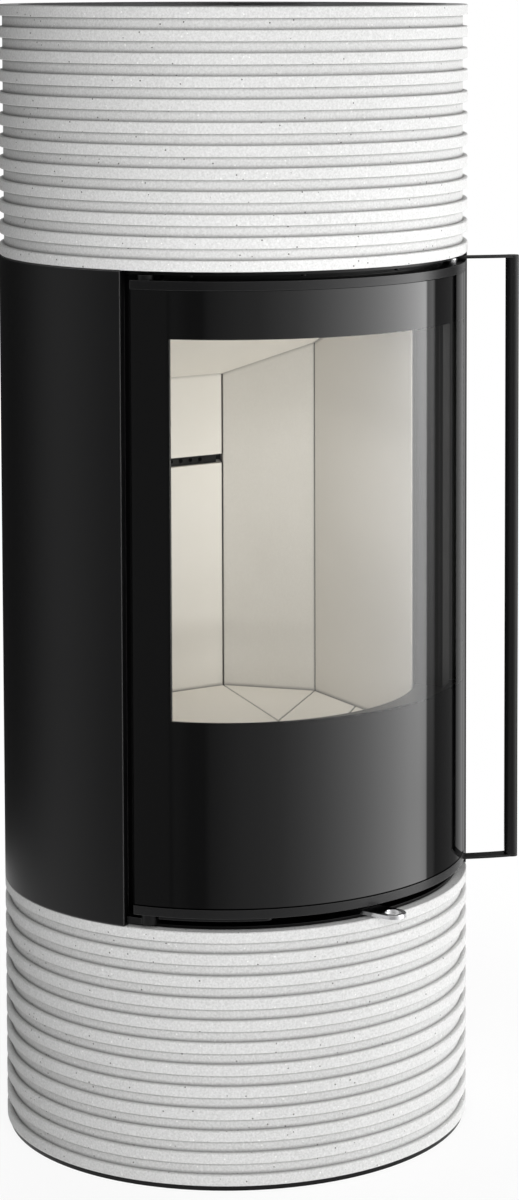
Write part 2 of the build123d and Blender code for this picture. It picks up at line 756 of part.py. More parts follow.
baffle_rise = sin(slope) / cos(slope)
baffle_back = chamber_back + lining_thickness + air_duct_depth
baffle_low = (baffle_back, back_wall_top - (baffle_back - chamber_back) * baffle_rise)
baffle_high = (baffle_front, lining_top)
baffle_shift = (baffle_thickness * sin(slope), baffle_thickness * cos(slope))
baffle_low_top, baffle_high_top = [(depth + baffle_shift[0], level + baffle_shift[1])
                                   for depth, level in (baffle_low, baffle_high)]

with BuildPart() as baffle_plate:
    with BuildSketch(Plane.XY.offset(slot_high)):
        add(polygon(*shell_inside))
        offset(amount=-baffle_side_gap, kind=Kind.INTERSECTION)
    extrude(amount=shell_top - slot_high)
    with BuildSketch(Plane.YZ):
        add(polygon(baffle_low, baffle_high, baffle_high_top, baffle_low_top))
    extrude(amount=stove_radius, both=True, mode=Mode.INTERSECT)
save(baffle_plate, "baffle_plate")

# ---------------------------------------------------------------- casing, top and flue

fold_end = casing_half_angle + degrees(casing_sheet / casing_inner)
fold_inner = stove_radius - casing_fold
with BuildPart() as side_casing:
    with BuildSketch(Plane.XY.offset(ring_low_top)):
        add(band(casing_inner, stove_radius, casing_half_angle, 360 - casing_half_angle))
        add(band(fold_inner, stove_radius, casing_half_angle, fold_end))
        add(band(fold_inner, stove_radius, -fold_end, -casing_half_angle))
    extrude(amount=middle_height - casing_top_gap)
save(side_casing, "side_casing")

slot_outer = ring_bore - support_slot_inset
slot_inner = slot_outer - support_slot_width
slot_start, slot_end = support_slot_angles
with BuildPart() as ring_support_plate:
    with BuildSketch(Plane.XY.offset(support_low)):
        Circle(casing_inner - ring_fit)
        add(band(stove_radius - support_front_inset, stove_radius + support_front_inset,
                 -support_front_angle, support_front_angle), mode=Mode.SUBTRACT)
        Circle(flue_outer + flue_hole_gap, mode=Mode.SUBTRACT)
        add(band(slot_inner, slot_outer, slot_start, slot_end), mode=Mode.SUBTRACT)
        add(band(slot_inner, slot_outer, -slot_end, -slot_start), mode=Mode.SUBTRACT)
        with Locations(*screw_places):
            Circle(screw_radius, mode=Mode.SUBTRACT)
    extrude(amount=support_plate)
save(ring_support_plate, "ring_support_plate")

with BuildPart() as header_screws:
    with BuildSketch(Plane.XY.offset(support_low - screw_head)):
        with Locations(*screw_places):
            Circle(screw_head_radius)
    extrude(amount=screw_head)
    with BuildSketch(Plane.XY.offset(support_low)):
        with Locations(*screw_places):
            Circle(screw_radius)
    extrude(amount=support_plate + screw_depth)
save(header_screws, "header_screws")

top_plate_low = stove_top - top_sheet
socket_low = top_plate_low - socket_length
with BuildPart() as flue_riser:
    with BuildSketch(Plane.XY.offset(support_low)):
        Circle(flue_outer)
    extrude(amount=top_plate_low - support_low)
    with BuildSketch(Plane.XY.offset(top_plate_low - flue_flange)):
        Circle(flue_flange_radius)
    extrude(amount=flue_flange)
    with BuildSketch(Plane.XY.offset(support_low)):
        Circle(flue_bore_radius - flue_step)
    extrude(amount=top_plate_low - support_low, mode=Mode.SUBTRACT)
    with BuildSketch(Plane.XY.offset(socket_low)):
        Circle(flue_bore_radius)
    extrude(amount=socket_length, mode=Mode.SUBTRACT)
save(flue_riser, "flue_riser")

with BuildPart() as top_plate:
    with BuildSketch(Plane.XY.offset(top_plate_low)):
        Circle(ring_bore - ring_fit)
        Circle(flue_outer + top_hole_gap, mode=Mode.SUBTRACT)
        with PolarLocations(top_slot_radius, top_slots):
            SlotOverall(top_slot_length, top_slot_width, mode=Mode.SUBTRACT)
    extrude(amount=top_sheet)
save(top_plate, "top_plate")

with BuildPart() as top_posts:
    with BuildSketch(Plane.XY.offset(ring_high)):
        with PolarLocations(ring_bore - post_inset, post_count, 180 / post_count):
            Circle(post_radius)
    extrude(amount=top_plate_low - ring_high)
save(top_posts, "top_posts")

# ---------------------------------------------------------------- door hinge and latch on the body

hinge = at(hinge_radius, -hinge_angle)
latch = at(latch_radius, latch_angle)
bush_top = rail_low - moving_gap


def hinge_bush(low, high):
    """Plain bush round the hinge line."""
    with BuildPart(mode=Mode.PRIVATE) as bush:
        with BuildSketch(Plane.XY.offset(low)):
            with Locations(hinge):
                Circle(bush_radius)
                Circle(hinge_pin_radius + running_gap, mode=Mode.SUBTRACT)
        extrude(amount=high - low)
    return bush.part


with BuildPart() as hinge_bush_lower:
    add(hinge_bush(deck_top, bush_top))
save(hinge_bush_lower, "hinge_bush_lower")

with BuildPart() as hinge_bush_upper:
    add(hinge_bush(rail_high_top + moving_gap, support_low))
save(hinge_bush_upper, "hinge_bush_upper")

bracket_start, bracket_middle, bracket_end = bracket_angles
strap_inner = hinge_radius - strap_half_width
strap_outer = hinge_radius + strap_half_width
with BuildPart() as hinge_bracket_lower:
    with BuildSketch(Plane.XY.offset(deck_top)):
        add(band(strap_inner, strap_outer, -bracket_middle, -bracket_start))
        add(band(strap_inner, hinge_radius, -bracket_end, -bracket_middle))
        with Locations(hinge):
            Circle(bush_radius, mode=Mode.SUBTRACT)
    extrude(amount=bracket_thickness)
save(hinge_bracket_lower, "hinge_bracket_lower")

# Two keepers on the right jamb's outer face. Their pins hold the latch hooks.
keeper = (latch[0] + keeper_offset[0], latch[1] + keeper_offset[1])
jamb_length = hypot(jamb_front_outside[0] - jamb_back_outside[0],
                    jamb_front_outside[1] - jamb_back_outside[1])
jamb_normal = ((jamb_back_outside[1] - jamb_front_outside[1]) / jamb_length,
               (jamb_front_outside[0] - jamb_back_outside[0]) / jamb_length)
keeper_distance = ((keeper[0] - jamb_back_outside[0]) * jamb_normal[0]
                   + (keeper[1] - jamb_back_outside[1]) * jamb_normal[1])
keeper_foot = (keeper[0] - keeper_distance * jamb_normal[0], keeper[1] - keeper_distance * jamb_normal[1])
keeper_height = hook_thickness + 2 * (keeper_side_gap + keeper_ear)
keeper_planes = [Plane(origin=(*keeper_foot, height), x_dir=(*jamb_normal, 0), z_dir=(0, 0, 1))
                 for height in hook_heights]

with BuildPart() as latch_keepers:
    for keeper_plane in keeper_planes:
        with BuildSketch(keeper_plane):
            Rectangle(keeper_ear, keeper_foot_length, align=(Align.MIN, Align.CENTER))
            Rectangle(keeper_distance, 2 * keeper_ear_radius, align=(Align.MIN, Align.CENTER))
            with Locations((keeper_distance, 0)):
                Circle(keeper_ear_radius)
                Circle(keeper_radius, mode=Mode.SUBTRACT)
        extrude(amount=keeper_height / 2, both=True)
    for keeper_plane in keeper_planes:
        with BuildSketch(keeper_plane):
            with Locations((keeper_ear, 0)):
                Rectangle(keeper_distance + keeper_ear_radius, keeper_foot_length,
                          align=(Align.MIN, Align.CENTER))
        extrude(amount=hook_thickness / 2 + keeper_side_gap, both=True, mode=Mode.SUBTRACT)
save(latch_keepers, "latch_keepers")

with BuildPart() as keeper_pins:
    for keeper_plane in keeper_planes:
        with BuildSketch(keeper_plane):
            with Locations((keeper_distance, 0)):
                Circle(keeper_radius)
        extrude(amount=keeper_height / 2, both=True)
save(keeper_pins, "keeper_pins")

# ---------------------------------------------------------------- door

with BuildPart() as door_frame:
    with BuildSketch(Plane.XY.offset(rail_low_top)):
        add(band(door_sheet_inner, door_sheet_outer, -sheet_half_angle, sheet_half_angle))
    extrude(amount=rail_high - rail_low_top)
    with BuildSketch(Plane.XY.offset(rail_low_top)):
        add(band(rim_inner, door_sheet_inner, -rim_outer_angle, rim_outer_angle))
    extrude(amount=rail_high - rail_low_top)
    for low, high in ((rail_low_top + rim_bar, sill_top - rim_bar / 2),
                      (sill_top + rim_bar / 2, window_top + window_cover)):
        with BuildSketch(Plane.XY.offset(low)):
            add(band(frame_face, door_sheet_inner, -rim_inner_angle, rim_inner_angle))
        extrude(amount=high - low, mode=Mode.SUBTRACT)
    with BuildSketch(Plane.XY.offset(window_bottom - window_cover)):
        add(band(rim_inner, glass_inner, -sheet_window_half_angle, sheet_window_half_angle))
    extrude(amount=window_top - window_bottom + 2 * window_cover, mode=Mode.SUBTRACT)
save(door_frame, "door_frame")


def door_rail(low):
    """Curved rail with rounded ends, bored for the hinge pin and the latch rod."""
    with BuildPart(mode=Mode.PRIVATE) as rail:
        with BuildSketch(Plane.XY.offset(low)):
            add(band(rail_inner, door_radius, -rail_half_angle, rail_half_angle))
            with Locations(hinge):
                Circle(hinge_pin_radius, mode=Mode.SUBTRACT)
            with Locations(latch):
                Circle(rod_radius + running_gap, mode=Mode.SUBTRACT)
        extrude(amount=rail_height)
        uprights = rail.edges().filter_by(Axis.Z)
        uprights = uprights.sort_by(lambda edge: hypot(edge.center().X, edge.center().Y))
        fillet(uprights[-2:], rail_corner)
    return rail.part


with BuildPart() as door_rail_bottom:
    add(door_rail(rail_low))
save(door_rail_bottom, "door_rail_bottom")

with BuildPart() as door_rail_top:
    add(door_rail(rail_high))
save(door_rail_top, "door_rail_top")

with BuildPart() as door_glass:
    with BuildSketch(Plane.XY.offset(rail_low_top + glass_low_gap)):
        add(band(glass_inner, door_radius, -glass_half_angle, glass_half_angle))
    extrude(amount=rail_high - glass_high_gap - rail_low_top - glass_low_gap)
save(door_glass, "door_glass")

with BuildPart() as glass_tape:
    with BuildSketch(Plane.XY.offset(rail_low_top + tape_edge)):
        add(band(door_sheet_outer + tape_play, glass_inner - tape_play, -tape_half_angle, tape_half_angle))
    extrude(amount=rail_high - rail_low_top - 2 * tape_edge)
    with BuildSketch(Plane.XY.offset(window_bottom - tape_window_gap)):
        add(band(door_sheet_inner, door_radius, -tape_window_half_angle, tape_window_half_angle))
    extrude(amount=window_top - window_bottom + 2 * tape_window_gap, mode=Mode.SUBTRACT)
save(glass_tape, "glass_tape")

with BuildPart() as door_gasket:
    gasket_low = rail_low_top + gasket_low_edge
    gasket_high = opening_top + gasket_cover + gasket_width
    with BuildSketch(Plane.XY.offset(gasket_low)):
        add(band(frame_face + seal_gap, rim_inner, -gasket_outer_angle, gasket_outer_angle))
    extrude(amount=gasket_high - gasket_low)
    with BuildSketch(Plane.XY.offset(gasket_low + gasket_width)):
        add(band(frame_face, door_sheet_inner, -gasket_inner_angle, gasket_inner_angle))
    extrude(amount=gasket_high - gasket_low - 2 * gasket_width, mode=Mode.SUBTRACT)
save(door_gasket, "door_gasket")

with BuildPart() as hinge_pins:
    for low, high in ((deck_top + moving_gap, rail_low_top), (rail_high, support_low - moving_gap)):
        with BuildSketch(Plane.XY.offset(low)):
            with Locations(hinge):
                Circle(hinge_pin_radius)
        extrude(amount=high - low)
save(hinge_pins, "hinge_pins")

strap_start, strap_end = strap_angles
with BuildPart() as hinge_strap:
    with BuildSketch(Plane.XY.offset(rail_low - strap_thickness)):
        add(band(strap_inner, strap_outer, -strap_start, -strap_end))
        with Locations(at(hinge_radius, -strap_end)):
            Circle(strap_half_width)
    extrude(amount=strap_thickness)
save(hinge_strap, "hinge_strap")

# ---------------------------------------------------------------- handle and latch rod

arm_low = rail_low - moving_gap - arm_thickness
arm_high = rail_high_top + moving_gap + rod_collar
bar = at(bar_radius, bar_angle)
arm_length = hypot(bar[0] - latch[0], bar[1] - latch[1])
arm_along = ((bar[0] - latch[0]) / arm_length, (bar[1] - latch[1]) / arm_length)

with BuildPart() as latch_rod:
    with BuildSketch(Plane.XY.offset(arm_low)):
        with Locations(latch):
            Circle(rod_radius)
    extrude(amount=arm_high + arm_thickness - arm_low)
    with BuildSketch(Plane.XY.offset(arm_high - rod_collar)):
        with Locations(latch):
            Circle(rod_collar_radius)
    extrude(amount=rod_collar)
save(latch_rod, "latch_rod")

shank_left = keeper_offset[0] + keeper_radius + keeper_play
shank_right = shank_left + hook_width
nose_low = keeper_offset[1] + keeper_radius + keeper_play
nose_high = nose_low + hook_width
nose_end = keeper_offset[0] - nose_overlap
hook_planes = [Plane(origin=(*latch, height)) for height in hook_heights]

with BuildPart() as latch_hooks:
    for hook_plane in hook_planes:
        with BuildSketch(hook_plane):
            Circle(hook_hub_radius)
            add(polygon((shank_left, 0), (shank_right, 0), (shank_right, nose_high), (nose_end, nose_high),
                        (nose_end, nose_low), (shank_left, nose_low)))
            Circle(rod_radius, mode=Mode.SUBTRACT)
        extrude(amount=hook_thickness / 2, both=True)
save(latch_hooks, "latch_hooks")


def arm_point(along, across):
    """Point on a handle arm, from the latch rod towards the bar and towards the front."""
    return (along * arm_along[0] + across * arm_along[1], along * arm_along[1] - across * arm_along[0])


def bar_section():
    """Rounded section of the bar, turned to the stove's axis."""
    with BuildSketch(Plane.XY, mode=Mode.PRIVATE) as section:
        with Locations(Location((*bar, 0), (0, 0, bar_angle - 90))):
            RectangleRounded(bar_across, bar_depth, bar_corner)
    return section.sketch


def handle_arm(low):
    """Flat arm from the latch rod to the bar, bowed to the front."""
    middle = arm_length / 2
    half, half_at_bar = arm_width / 2, arm_width_at_bar / 2
    mean = (half + half_at_bar) / 2
    with BuildPart(mode=Mode.PRIVATE) as arm:
        with BuildSketch(Plane(origin=(*latch, low))):
            with BuildLine():
                ThreePointArc(arm_point(0, half), arm_point(middle, mean + arm_bow),
                              arm_point(arm_length, half_at_bar))
                Line(arm_point(arm_length, half_at_bar), arm_point(arm_length, -half_at_bar))
                ThreePointArc(arm_point(arm_length, -half_at_bar), arm_point(middle, arm_bow - mean),
                              arm_point(0, -half))
                Line(arm_point(0, -half), arm_point(0, half))
            make_face()
            Circle(half)
            Circle(rod_radius, mode=Mode.SUBTRACT)
        with BuildSketch(Plane.XY.offset(low)):
            add(bar_section())
        extrude(amount=arm_thickness)
    return arm.part


with BuildPart() as handle_arm_lower:
    add(handle_arm(arm_low))
save(handle_arm_lower, "handle_arm_lower")

with BuildPart() as handle_arm_upper:
    add(handle_arm(arm_high))
save(handle_arm_upper, "handle_arm_upper")

with BuildPart() as handle_bar:
    with BuildSketch(Plane.XY.offset(arm_low + arm_thickness)):
        add(bar_section())
    extrude(amount=arm_high - arm_low - arm_thickness)
save(handle_bar, "handle_bar")
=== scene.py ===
import json
import math

import bmesh
import bpy
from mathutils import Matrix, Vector


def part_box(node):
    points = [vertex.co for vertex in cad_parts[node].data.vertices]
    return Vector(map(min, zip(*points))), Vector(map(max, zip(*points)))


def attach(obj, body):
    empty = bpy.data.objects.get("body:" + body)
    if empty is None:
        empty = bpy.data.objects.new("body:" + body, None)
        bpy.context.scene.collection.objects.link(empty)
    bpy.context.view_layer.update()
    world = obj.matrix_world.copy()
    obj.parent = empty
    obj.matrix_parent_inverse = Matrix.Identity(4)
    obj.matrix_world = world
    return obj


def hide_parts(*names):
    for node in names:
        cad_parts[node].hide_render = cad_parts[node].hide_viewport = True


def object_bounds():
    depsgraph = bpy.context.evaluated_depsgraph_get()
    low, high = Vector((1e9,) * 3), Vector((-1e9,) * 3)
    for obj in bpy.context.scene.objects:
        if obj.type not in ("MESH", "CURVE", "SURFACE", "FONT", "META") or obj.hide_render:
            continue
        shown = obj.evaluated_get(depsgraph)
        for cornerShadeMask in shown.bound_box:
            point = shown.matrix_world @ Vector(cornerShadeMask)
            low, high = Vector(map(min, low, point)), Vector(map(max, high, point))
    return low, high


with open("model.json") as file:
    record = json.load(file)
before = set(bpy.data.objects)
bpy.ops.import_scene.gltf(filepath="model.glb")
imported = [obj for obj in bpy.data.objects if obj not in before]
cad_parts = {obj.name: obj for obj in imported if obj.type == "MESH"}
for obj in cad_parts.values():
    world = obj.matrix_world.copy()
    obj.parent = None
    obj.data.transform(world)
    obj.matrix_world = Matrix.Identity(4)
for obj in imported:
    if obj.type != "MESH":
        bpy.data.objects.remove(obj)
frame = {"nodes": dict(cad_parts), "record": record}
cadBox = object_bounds()
print("frame loaded with", len(frame["nodes"]), "nodes")

bpy.context.scene.view_settings.view_transform = "Standard"


def place(radius, azimuth, height):
    # azimuth 0 is the door's middle, positive towards the right
    angle = math.radians(azimuth)
    return Vector((radius * math.sin(angle), -radius * math.cos(angle), height))


def addPiece(name, data):
    piece = bpy.data.objects.new(name, data)
    bpy.context.scene.collection.objects.link(piece)
    return piece


def meshFrom(form, name):
    mesh = bpy.data.meshes.new(name)
    form.to_mesh(mesh)
    form.free()
    return mesh


def addNode(tree, kind, settings=None, **values):
    # settings go on the node itself, values on its inputs
    node = tree.nodes.new(kind)
    for key, value in (settings or {}).items():
        setattr(node, key, value)
    for key, value in values.items():
        node.inputs[key.replace("_", " ")].default_value = value
    return node


def join(tree, source, target, sourceName=0, targetName=0):
    tree.links.new(source.outputs[sourceName], target.inputs[targetName])


def addMath(tree, operation, *sources, kind="ShaderNodeMath", clamp=False):
    # each source is a plain value, a node, or a node with the name of its output
    node = addNode(tree, kind, {"operation": operation})
    if clamp:
        node.use_clamp = True
    for socket, source in zip(node.inputs, sources):
        if isinstance(source, bpy.types.Node):
            tree.links.new(source.outputs[0], socket)
        elif isinstance(source, tuple) and isinstance(source[0], bpy.types.Node):
            tree.links.new(source[0].outputs[source[1]], socket)
        else:
            socket.default_value = source
    return node


def addTexture(tree, kind, **values):
    # a texture that sticks to the piece's own coordinates
    coords = addNode(tree, "ShaderNodeTexCoord")
    texture = addNode(tree, kind, **values)
    join(tree, coords, texture, "Object", "Vector")
    return texture


def addSocket(group, name, direction):
    return group.interface.new_socket(name=name, in_out=direction, socket_type="NodeSocketFloat")


def startGroup(name, **inputs):
    group = bpy.data.node_groups.new(name, "ShaderNodeTree")
    for label, default in inputs.items():
        addSocket(group, label, "INPUT").default_value = default
    addSocket(group, "Mask", "OUTPUT")
    return group, group.nodes.new("NodeGroupInput")


def endGroup(group, mask, maskName=0):
    join(group, mask, group.nodes.new("NodeGroupOutput"), maskName)
    return group


def useGroup(tree, group, **values):
    node = tree.nodes.new("ShaderNodeGroup")
    node.node_tree = group
    for key, value in values.items():
        node.inputs[key].default_value = value
    return node


def makeCloud():
    # soft blotches, from 0 to 1 round a half
    group, given = startGroup("cloud", Size=8.0, Contrast=1.0)
    noise = addTexture(group, "ShaderNodeTexNoise", Detail=5.0, Roughness=0.62)
    join(group, given, noise, "Size", "Scale")
    centred = addMath(group, "SUBTRACT", (noise, "Fac"), 0.5)
    scaled = addMath(group, "MULTIPLY_ADD", centred, (given, "Contrast"), 0.5, clamp=True)
    return endGroup(group, scaled)


def makePits():
    # small round pits scattered over the surface, 1 inside a pit
    group, given = startGroup("pits", Density=300.0, Reach=0.2, Share=0.1)
    cells = addTexture(group, "ShaderNodeTexVoronoi")
    join(group, given, cells, "Density", "Scale")
    near = addMath(group, "LESS_THAN", (cells, "Distance"), (given, "Reach"))
    lot = addNode(group, "ShaderNodeSeparateColor")
    join(group, cells, lot, "Color")
    few = addMath(group, "LESS_THAN", lot, (given, "Share"))
    return endGroup(group, addMath(group, "MULTIPLY", near, few))


def makeGrain():
    # fine even grain, for paint, brick and cast surfaces
    group, given = startGroup("grain", Size=900.0)
    noise = addTexture(group, "ShaderNodeTexNoise", Detail=2.0, Roughness=0.7)
    join(group, given, noise, "Size", "Scale")
    return endGroup(group, noise, "Fac")


def makeEdges():
    # 1 on edges, 0 on flats: where paint takes its worn edge colour, on the casing also a painted
    #                         highlight
    group, given = startGroup("edges", Width=0.002, Sharpness=6.0)
    rounded = addNode(group, "ShaderNodeBevel", {"samples": 4})
    join(group, given, rounded, "Width", "Radius")
    plain = addNode(group, "ShaderNodeNewGeometry")
    facing = addMath(group, "DOT_PRODUCT", rounded, (plain, "Normal"), kind="ShaderNodeVectorMath")
    away = addMath(group, "SUBTRACT", 1.0, (facing, "Value"))
    return endGroup(group, addMath(group, "MULTIPLY", away, (given, "Sharpness"), clamp=True))


def makeCavity():
    # 1 deep in grooves and joints, 0 in the open: where shade is painted into the colour
    group, given = startGroup("cavity", Reach=0.02, Depth=1.0)
    sky = addNode(group, "ShaderNodeAmbientOcclusion", {"samples": 8})
    join(group, given, sky, "Reach", "Distance")
    paintedShadeMask = addMath(group, "SUBTRACT", 1.0, (sky, "AO"))
    return endGroup(group, addMath(group, "MULTIPLY", paintedShadeMask, (given, "Depth"), clamp=True))


def makeBand():
    # 1 on upright faces at one radius round the stove's axis, 0 elsewhere
    group, given = startGroup("band", Radius=0.232, Width=0.0012)
    coords = addNode(group, "ShaderNodeTexCoord")
    flat = addMath(group, "MULTIPLY", (coords, "Object"), (1, 1, 0), kind="ShaderNodeVectorMath")
    radius = addMath(group, "LENGTH", flat, kind="ShaderNodeVectorMath")
    near = addMath(group, "COMPARE", (radius, "Value"), (given, "Radius"), (given, "Width"))
    plain = addNode(group, "ShaderNodeNewGeometry")
    parts = addNode(group, "ShaderNodeSeparateXYZ")
    join(group, plain, parts, "Normal")
    tilt = addMath(group, "ABSOLUTE", (parts, "Z"))
    upright = addMath(group, "LESS_THAN", tilt, 0.5)  # steeper than 60 degrees
    return endGroup(group, addMath(group, "MULTIPLY", near, upright))


# surface effects that several finishes share
cloud = makeCloud()
band = makeBand()
pits = makePits()
grain = makeGrain()
edges = makeEdges()
cavity = makeCavity()
print("surface effects built")


def emptyMaterial(name):
    material = bpy.data.materials.new(name)
    material.use_nodes = True
    material.node_tree.nodes.clear()
    return material, material.node_tree


def startMaterial(name, **values):
    material, tree = emptyMaterial(name)
    shader = addNode(tree, "ShaderNodeBsdfPrincipled", **values)
    join(tree, shader, tree.nodes.new("ShaderNodeOutputMaterial"))
    return material, tree, shader


def addMix(tree, blend="MIX", **values):
    return addNode(tree, "ShaderNodeMix", {"data_type": "RGBA", "blend_type": blend}, **values)


def mixColours(tree, mask, first, second, maskName="Mask"):
    # from the first colour, where the mask is 0, to the second, where it is 1
    mix = addMix(tree, A=(*first, 1), B=(*second, 1))
    join(tree, mask, mix, maskName, "Factor")
    return mix


def addLayer(tree, below, mask, colour, blend="MIX"):
    # lays one plain colour over the layers below, where the mask is 1
    layer = addMix(tree, blend, B=(*colour, 1))
    join(tree, below, layer, "Result", "A")
    join(tree, mask, layer, "Mask", "Factor")
    return layer


def addShade(tree, below, mask, tone):
    # darkens the layers below to one share, where the mask is 1
    return addLayer(tree, below, mask, (tone, tone, tone), "MULTIPLY")


def addSpeckle(tree, below, tone, share, toneName="Mask"):
    # a fine pattern over the layers below, lighter and darker
    layer = addMix(tree, "SOFT_LIGHT", Factor=share)
    join(tree, below, layer, "Result", "A")
    join(tree, tone, layer, toneName, "B")
    return layer


def addBump(tree, height, relief, heightName="Mask", invert=False):
    # relief is the bump's strength and its depth in metres
    strength, depth = relief
    bump = addNode(tree, "ShaderNodeBump", {"invert": invert}, Strength=strength, Distance=depth)
    join(tree, height, bump, heightName, "Height")
    return bump


def addGloss(tree, shader, mask, smooth, rough, maskName="Mask"):
    # roughness that runs from smooth to rough with the mask
    gloss = addNode(tree, "ShaderNodeMapRange", To_Min=smooth, To_Max=rough)
    join(tree, mask, gloss, maskName, "Value")
    join(tree, gloss, shader, "Result", "Roughness")


concrete = {
    "pale": (0.81, 0.81, 0.805),
    "grey": (0.76, 0.76, 0.752),
    "blotches": {"Size": 7.0, "Contrast": 1.6},
    "sandSize": 480.0,
    "sandFrom": 0.35,
    "sandTo": 0.65,
    "sandShare": 0.40,
    "sandBump": (0.35, 0.0004),
    "speck": (0.97, 0.97, 0.96),
    "specks": {"Density": 210.0, "Reach": 0.19, "Share": 0.09},
    "pore": (0.22, 0.215, 0.21),
    "pores": {"Density": 190.0, "Reach": 0.15, "Share": 0.10},
    "poreBump": (0.8, 0.0008),
    # painted shade in the grooves, found by this radius
    "grooveRadius": 0.232,
    "grooveShadeTone": 0.91,
    # painted shade in the grooves' inner corners
    "corners": {"Reach": 0.0035, "Depth": 1.3},
    "cornerShadeTone": 0.17,
    "roughness": 0.92,
    "specular": 0.25,
}


def makeConcrete():
    # cast rings: sandy, with pale specks and dark pores; painted shade in the grooves and, darker
    # still, in their inner corners
    material, tree, shader = startMaterial("pale concrete", Roughness=concrete["roughness"],
                                           Specular_IOR_Level=concrete["specular"])
    blotch = useGroup(tree, cloud, **concrete["blotches"])
    colour = mixColours(tree, blotch, concrete["grey"], concrete["pale"])
    sand = useGroup(tree, grain, Size=concrete["sandSize"])
    strong = addNode(tree, "ShaderNodeMapRange", {"clamp": False},
                     From_Min=concrete["sandFrom"], From_Max=concrete["sandTo"])
    join(tree, sand, strong, "Mask", "Value")
    sandy = addSpeckle(tree, colour, strong, concrete["sandShare"], "Result")
    specks = useGroup(tree, pits, **concrete["specks"])
    pores = useGroup(tree, pits, **concrete["pores"])
    speckled = addLayer(tree, sandy, specks, concrete["speck"])
    pored = addLayer(tree, speckled, pores, concrete["pore"])
    # painted shade: the grooves darkened all over
    grooveMask = useGroup(tree, band, Radius=concrete["grooveRadius"])
    grooveShaded = addShade(tree, pored, grooveMask, concrete["grooveShadeTone"])
    # painted shade in the inner corners, from the occlusion mask
    cornerShadeMask = useGroup(tree, cavity, **concrete["corners"])
    shaded = addShade(tree, grooveShaded, cornerShadeMask, concrete["cornerShadeTone"])
    join(tree, shaded, shader, "Result", "Base Color")
    sandBump = addBump(tree, sand, concrete["sandBump"])
    poreBump = addBump(tree, pores, concrete["poreBump"], invert=True)
    join(tree, sandBump, poreBump, "Normal", "Normal")
    join(tree, poreBump, shader, "Normal", "Normal")
    return material


brick = {
    "cream": (0.84, 0.815, 0.775),
    "sand": (0.77, 0.742, 0.695),
    "blotches": {"Size": 9.0, "Contrast": 1.3},
    "flakeSize": 520.0,
    "flakeShare": 0.2,
    "flakeBump": (0.25, 0.0004),
    # painted shade in the joints and inner corners
    "joints": {"Reach": 0.004, "Depth": 1.2},
    "jointShadeTone": 0.12,
    "roughness": 0.85,
    "specular": 0.2,
    # each kind of brick has this share of the two colours; the lighter kind is painted light, the
    # darker kinds painted shade
    "kinds": {
        "vermiculite brick": 0.97,
        "vermiculite brick with painted light": 1.15,
        "vermiculite brick with painted shade": 0.89,
        "vermiculite brick with deeper painted shade": 0.81,
    },
}


def makeBrick(name, share):
    # pressed bricks: small flakes, with painted shade in the joints and inner corners
    material, tree, shader = startMaterial(name, Roughness=brick["roughness"],
                                           Specular_IOR_Level=brick["specular"])
    blotch = useGroup(tree, cloud, **brick["blotches"])
    sand, cream = (tuple(share * part for part in brick[key]) for key in ("sand", "cream"))
    colour = mixColours(tree, blotch, sand, cream)
    flakes = useGroup(tree, grain, Size=brick["flakeSize"])
    flaked = addSpeckle(tree, colour, flakes, brick["flakeShare"])
    # painted shade where panels meet, from the occlusion mask
    jointShadeMask = useGroup(tree, cavity, **brick["joints"])
    jointShaded = addShade(tree, flaked, jointShadeMask, brick["jointShadeTone"])
    join(tree, jointShaded, shader, "Result", "Base Color")
    join(tree, addBump(tree, flakes, brick["flakeBump"]), shader, "Normal", "Normal")
    return material


paint = {
    "edgeWidth": 0.0012,
    "edgeRound": 0.0006,
    # painted shade in the gaps between parts
    "gapShade": {"Reach": 0.02, "Depth": 1.4},
    "gapShadeTone": 0.03,
    "grainSize": 1500.0,
    "grainBump": (0.12, 0.0002),
    # a kind may name its own edge width or edge round
    "kinds": {
        "satin stove paint": {
            "colour": (0.006, 0.006, 0.0063), "edgeWearAndHighlight": (0.04, 0.04, 0.04), "edgeSharpness": 4.0,
            "roughness": 0.34, "spread": 0.05, "specular": 0.20,
        },
        "matt stove paint": {
            "colour": (0.014, 0.014, 0.0145), "edgeWearAndHighlight": (0.05, 0.05, 0.05), "edgeSharpness": 3.0,
            "roughness": 0.62, "spread": 0.10, "specular": 0.40,
        },
        "lid paint": {
            "colour": (0.032, 0.032, 0.033), "edgeWearAndHighlight": (0.08, 0.08, 0.08), "edgeSharpness": 2.0,
            "roughness": 0.45, "spread": 0.06, "specular": 0.40,
        },
        # its pale edge colour is wear and a painted highlight along the casing's edges
        "casing paint": {
            "colour": (0.006, 0.006, 0.0063), "edgeWearAndHighlight": (0.13, 0.13, 0.13), "edgeSharpness": 4.0,
            "roughness": 0.34, "spread": 0.05, "specular": 0.20, "edgeWidth": 0.002,
        },
        "rail paint": {
            "colour": (0.006, 0.006, 0.0063), "edgeWearAndHighlight": (0.04, 0.04, 0.04), "edgeSharpness": 3.0,
            "roughness": 0.26, "spread": 0.05, "specular": 0.33,
        },
        "handle paint": {
            "colour": (0.005, 0.005, 0.0052), "edgeWearAndHighlight": (0.02, 0.02, 0.02), "edgeSharpness": 1.0,
            "roughness": 0.26, "spread": 0.04, "specular": 0.20, "edgeRound": 0.002,
        },
    },
}


